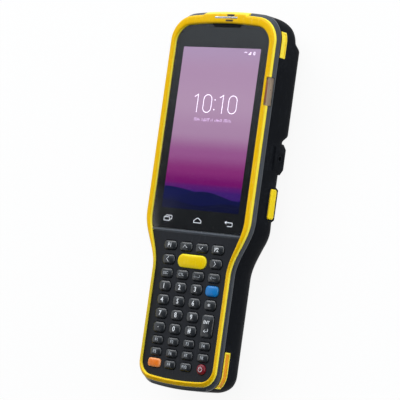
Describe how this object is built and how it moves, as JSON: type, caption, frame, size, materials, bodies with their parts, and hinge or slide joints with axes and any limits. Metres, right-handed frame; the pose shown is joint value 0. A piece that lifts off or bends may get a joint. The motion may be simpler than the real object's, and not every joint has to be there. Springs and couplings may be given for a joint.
{
  "type": "portable barcode data terminal",
  "caption": "Rugged handheld data terminal with a touch display in a wide head, a keypad grip, side scan triggers, a yellow bumper and a rear battery bay.",
  "frame": {"origin": "under the middle of the terminal, on the plane that it rests on", "axes": "+X to the user's right, +Y towards the scanner end, +Z out of the screen"},
  "size_m": [0.0788, 0.2167, 0.03],
  "materials": {
    "front_plastic": "fine texture",
    "rear_plastic": "fine texture",
    "yellow_bumper": "satin",
    "yellow_button": "satin",
    "cover_glass": "polished",
    "display": "lit picture",
    "smoke_lens": "translucent",
    "cast_chassis": "cast",
    "circuit_board": "solder mask",
    "silicone_mat": "matt",
    "module_black": "matt",
    "red_window": "polished",
    "battery_wrap": "satin",
    "screw_steel": "black oxide",
    "black_rubber": "matt",
    "dark_key": "satin",
    "yellow_key": "satin",
    "blue_key": "satin",
    "orange_key": "satin",
    "red_key": "satin"
  },
  "bodies": {
    "housing": {"front_housing": "front_plastic", "bumper_frame": "yellow_bumper", "display_glass": "cover_glass", "display_panel": "display", "indicator_lens": "smoke_lens", "chassis": "cast_chassis", "circuit_boards": "circuit_board", "keypad_mat": "silicone_mat", "scan_engine": "module_black", "scan_window": "red_window", "camera_module": "module_black", "speaker": "module_black", "battery_pack": "battery_wrap", "rear_housing": "rear_plastic", "side_accents": "yellow_bumper", "screws": "screw_steel"},
    "right_trigger": {"right_trigger": "yellow_button"},
    "left_trigger": {"left_trigger": "yellow_button"},
    "battery_latch": {"battery_latch": "yellow_button"},
    "battery_cover": {"battery_cover": "rear_plastic", "cover_catch": "screw_steel"},
    "port_cover": {"port_cover": "black_rubber"},
    "key_p1": {"key_p1": "dark_key"},
    "key_up": {"key_up": "dark_key"},
    "key_down": {"key_down": "dark_key"},
    "key_p2": {"key_p2": "dark_key"},
    "key_left": {"key_left": "dark_key"},
    "key_scan": {"key_scan": "yellow_key"},
    "key_right": {"key_right": "dark_key"},
    "key_esc": {"key_esc": "dark_key"},
    "key_shift": {"key_shift": "dark_key"},
    "key_space": {"key_space": "dark_key"},
    "key_backspace": {"key_backspace": "dark_key"},
    "key_1": {"key_1": "dark_key"},
    "key_2": {"key_2": "dark_key"},
    "key_3": {"key_3": "dark_key"},
    "key_blue": {"key_blue": "blue_key"},
    "key_4": {"key_4": "dark_key"},
    "key_5": {"key_5": "dark_key"},
    "key_6": {"key_6": "dark_key"},
    "key_star": {"key_star": "dark_key"},
    "key_7": {"key_7": "dark_key"},
    "key_8": {"key_8": "dark_key"},
    "key_9": {"key_9": "dark_key"},
    "key_enter": {"key_enter": "dark_key"},
    "key_point": {"key_point": "dark_key"},
    "key_0": {"key_0": "dark_key"},
    "key_hash": {"key_hash": "dark_key"},
    "key_f1": {"key_f1": "dark_key"},
    "key_f2": {"key_f2": "dark_key"},
    "key_f3": {"key_f3": "dark_key"},
    "key_f4": {"key_f4": "dark_key"},
    "key_f5": {"key_f5": "dark_key"},
    "key_f6": {"key_f6": "dark_key"},
    "key_f7": {"key_f7": "dark_key"},
    "key_f8": {"key_f8": "dark_key"},
    "key_orange": {"key_orange": "orange_key"},
    "key_f9": {"key_f9": "dark_key"},
    "key_f10": {"key_f10": "dark_key"},
    "key_power": {"key_power": "red_key"}
  },
  "joints": [
    {"name": "right_trigger_press", "type": "slide", "parent": "housing", "child": "right_trigger", "axis": [-1, 0, 0], "range_m": [0, 0.001], "stiffness_N_per_m": 3000},
    {"name": "left_trigger_press", "type": "slide", "parent": "housing", "child": "left_trigger", "axis": [1, 0, 0], "range_m": [0, 0.001], "stiffness_N_per_m": 3000},
    {"name": "latch_slide", "type": "slide", "parent": "housing", "child": "battery_latch", "axis": [1, 0, 0], "range_m": [0, 0.004]},
    {"name": "battery_cover_hinge", "type": "hinge", "parent": "housing", "child": "battery_cover", "pos_m": [0, -0.02635, 0.0012], "axis": [1, 0, 0], "range_deg": [0, 75]},
    {"name": "port_cover_hinge", "type": "hinge", "parent": "housing", "child": "port_cover", "pos_m": [-0.0376, 0.06665, 0.0163], "axis": [0, -1, 0], "range_deg": [0, 90]},
    {"name": "key_p1_press", "type": "slide", "parent": "housing", "child": "key_p1", "axis": [0, 0, -1], "range_m": [0, 0.0006], "stiffness_N_per_m": 2000},
    {"name": "key_up_press", "type": "slide", "parent": "housing", "child": "key_up", "axis": [0, 0, -1], "range_m": [0, 0.0006], "stiffness_N_per_m": 2000},
    {"name": "key_down_press", "type": "slide", "parent": "housing", "child": "key_down", "axis": [0, 0, -1], "range_m": [0, 0.0006], "stiffness_N_per_m": 2000},
    {"name": "key_p2_press", "type": "slide", "parent": "housing", "child": "key_p2", "axis": [0, 0, -1], "range_m": [0, 0.0006], "stiffness_N_per_m": 2000},
    {"name": "key_left_press", "type": "slide", "parent": "housing", "child": "key_left", "axis": [0, 0, -1], "range_m": [0, 0.0006], "stiffness_N_per_m": 2000},
    {"name": "key_scan_press", "type": "slide", "parent": "housing", "child": "key_scan", "axis": [0, 0, -1], "range_m": [0, 0.0006], "stiffness_N_per_m": 2000},
    {"name": "key_right_press", "type": "slide", "parent": "housing", "child": "key_right", "axis": [0, 0, -1], "range_m": [0, 0.0006], "stiffness_N_per_m": 2000},
    {"name": "key_esc_press", "type": "slide", "parent": "housing", "child": "key_esc", "axis": [0, 0, -1], "range_m": [0, 0.0006], "stiffness_N_per_m": 2000},
    {"name": "key_shift_press", "type": "slide", "parent": "housing", "child": "key_shift", "axis": [0, 0, -1], "range_m": [0, 0.0006], "stiffness_N_per_m": 2000},
    {"name": "key_space_press", "type": "slide", "parent": "housing", "child": "key_space", "axis": [0, 0, -1], "range_m": [0, 0.0006], "stiffness_N_per_m": 2000},
    {"name": "key_backspace_press", "type": "slide", "parent": "housing", "child": "key_backspace", "axis": [0, 0, -1], "range_m": [0, 0.0006], "stiffness_N_per_m": 2000},
    {"name": "key_1_press", "type": "slide", "parent": "housing", "child": "key_1", "axis": [0, 0, -1], "range_m": [0, 0.0006], "stiffness_N_per_m": 2000},
    {"name": "key_2_press", "type": "slide", "parent": "housing", "child": "key_2", "axis": [0, 0, -1], "range_m": [0, 0.0006], "stiffness_N_per_m": 2000},
    {"name": "key_3_press", "type": "slide", "parent": "housing", "child": "key_3", "axis": [0, 0, -1], "range_m": [0, 0.0006], "stiffness_N_per_m": 2000},
    {"name": "key_blue_press", "type": "slide", "parent": "housing", "child": "key_blue", "axis": [0, 0, -1], "range_m": [0, 0.0006], "stiffness_N_per_m": 2000},
    {"name": "key_4_press", "type": "slide", "parent": "housing", "child": "key_4", "axis": [0, 0, -1], "range_m": [0, 0.0006], "stiffness_N_per_m": 2000},
    {"name": "key_5_press", "type": "slide", "parent": "housing", "child": "key_5", "axis": [0, 0, -1], "range_m": [0, 0.0006], "stiffness_N_per_m": 2000},
    {"name": "key_6_press", "type": "slide", "parent": "housing", "child": "key_6", "axis": [0, 0, -1], "range_m": [0, 0.0006], "stiffness_N_per_m": 2000},
    {"name": "key_star_press", "type": "slide", "parent": "housing", "child": "key_star", "axis": [0, 0, -1], "range_m": [0, 0.0006], "stiffness_N_per_m": 2000},
    {"name": "key_7_press", "type": "slide", "parent": "housing", "child": "key_7", "axis": [0, 0, -1], "range_m": [0, 0.0006], "stiffness_N_per_m": 2000},
    {"name": "key_8_press", "type": "slide", "parent": "housing", "child": "key_8", "axis": [0, 0, -1], "range_m": [0, 0.0006], "stiffness_N_per_m": 2000},
    {"name": "key_9_press", "type": "slide", "parent": "housing", "child": "key_9", "axis": [0, 0, -1], "range_m": [0, 0.0006], "stiffness_N_per_m": 2000},
    {"name": "key_enter_press", "type": "slide", "parent": "housing", "child": "key_enter", "axis": [0, 0, -1], "range_m": [0, 0.0006], "stiffness_N_per_m": 2000},
    {"name": "key_point_press", "type": "slide", "parent": "housing", "child": "key_point", "axis": [0, 0, -1], "range_m": [0, 0.0006], "stiffness_N_per_m": 2000},
    {"name": "key_0_press", "type": "slide", "parent": "housing", "child": "key_0", "axis": [0, 0, -1], "range_m": [0, 0.0006], "stiffness_N_per_m": 2000},
    {"name": "key_hash_press", "type": "slide", "parent": "housing", "child": "key_hash", "axis": [0, 0, -1], "range_m": [0, 0.0006], "stiffness_N_per_m": 2000},
    {"name": "key_f1_press", "type": "slide", "parent": "housing", "child": "key_f1", "axis": [0, 0, -1], "range_m": [0, 0.0006], "stiffness_N_per_m": 2000},
    {"name": "key_f2_press", "type": "slide", "parent": "housing", "child": "key_f2", "axis": [0, 0, -1], "range_m": [0, 0.0006], "stiffness_N_per_m": 2000},
    {"name": "key_f3_press", "type": "slide", "parent": "housing", "child": "key_f3", "axis": [0, 0, -1], "range_m": [0, 0.0006], "stiffness_N_per_m": 2000},
    {"name": "key_f4_press", "type": "slide", "parent": "housing", "child": "key_f4", "axis": [0, 0, -1], "range_m": [0, 0.0006], "stiffness_N_per_m": 2000},
    {"name": "key_f5_press", "type": "slide", "parent": "housing", "child": "key_f5", "axis": [0, 0, -1], "range_m": [0, 0.0006], "stiffness_N_per_m": 2000},
    {"name": "key_f6_press", "type": "slide", "parent": "housing", "child": "key_f6", "axis": [0, 0, -1], "range_m": [0, 0.0006], "stiffness_N_per_m": 2000},
    {"name": "key_f7_press", "type": "slide", "parent": "housing", "child": "key_f7", "axis": [0, 0, -1], "range_m": [0, 0.0006], "stiffness_N_per_m": 2000},
    {"name": "key_f8_press", "type": "slide", "parent": "housing", "child": "key_f8", "axis": [0, 0, -1], "range_m": [0, 0.0006], "stiffness_N_per_m": 2000},
    {"name": "key_orange_press", "type": "slide", "parent": "housing", "child": "key_orange", "axis": [0, 0, -1], "range_m": [0, 0.0006], "stiffness_N_per_m": 2000},
    {"name": "key_f9_press", "type": "slide", "parent": "housing", "child": "key_f9", "axis": [0, 0, -1], "range_m": [0, 0.0006], "stiffness_N_per_m": 2000},
    {"name": "key_f10_press", "type": "slide", "parent": "housing", "child": "key_f10", "axis": [0, 0, -1], "range_m": [0, 0.0006], "stiffness_N_per_m": 2000},
    {"name": "key_power_press", "type": "slide", "parent": "housing", "child": "key_power", "axis": [0, 0, -1], "range_m": [0, 0.0006], "stiffness_N_per_m": 2000}
  ]
}
